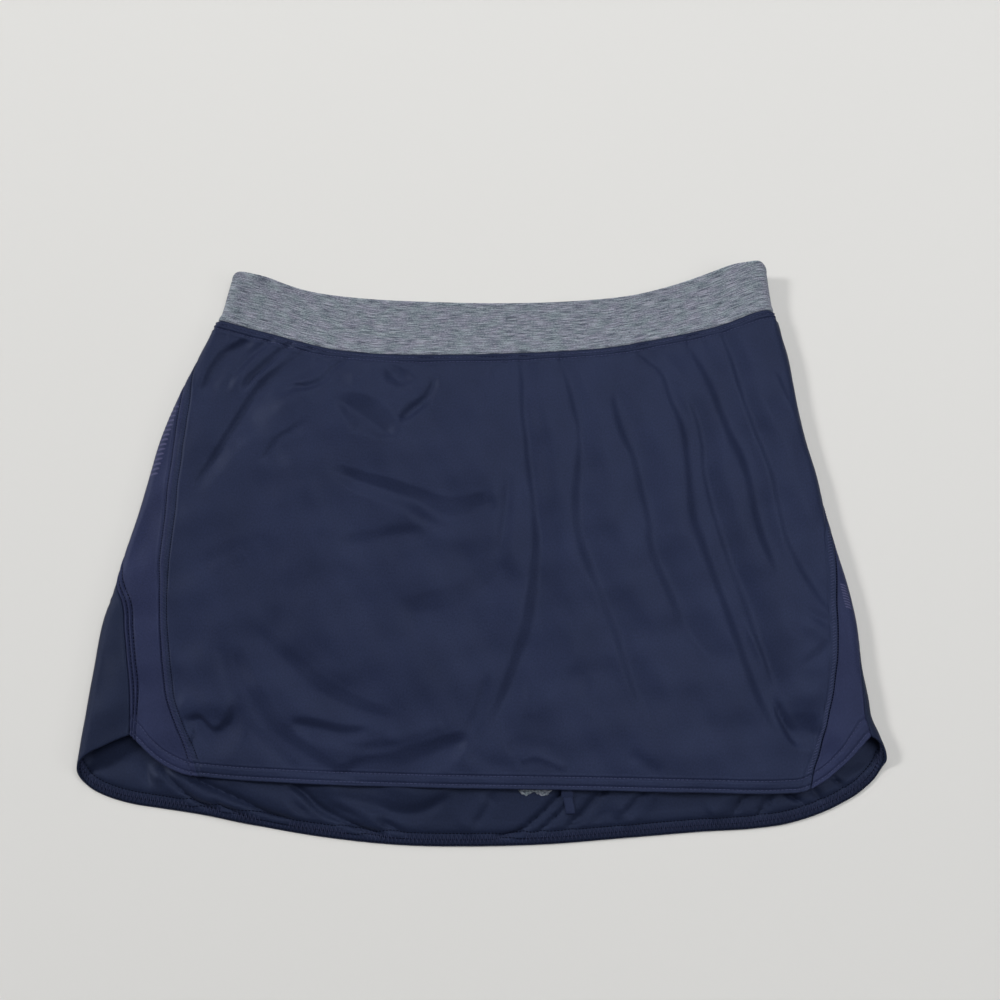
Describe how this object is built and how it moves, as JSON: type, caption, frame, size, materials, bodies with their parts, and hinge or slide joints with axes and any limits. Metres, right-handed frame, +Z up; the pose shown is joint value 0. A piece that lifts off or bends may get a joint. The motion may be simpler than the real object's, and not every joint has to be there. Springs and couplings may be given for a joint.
{
  "type": "tennis skort",
  "caption": "Tennis skort lying flat: heather-grey waistband, navy skirt with curved side panels and a longer rounded back, and a grey inner short.",
  "frame": {"origin": "centre of the garment's box, on the surface that it lies on", "axes": "+X to the viewer's right as it lies front up, +Y from the hem to the waistband, +Z up from the surface"},
  "size_m": [0.5082, 0.392, 0.015],
  "materials": {
    "navy_knit": "smooth knit with a soft satin sheen",
    "navy_side_knit": "fine knit with a little more sheen",
    "navy_back_knit": "smooth knit, duller on its inside",
    "marl_knit": "matte heather-grey knit with fine streaks along the band"
  },
  "bodies": {
    "root": {"waistband": "marl_knit", "front_panel": "navy_knit", "side_panel_left": "navy_side_knit", "side_panel_right": "navy_side_knit", "back_panel": "navy_back_knit", "inner_short_left": "marl_knit", "inner_short_right": "marl_knit", "hanging_loop": "navy_knit"}
  },
  "joints": []
}
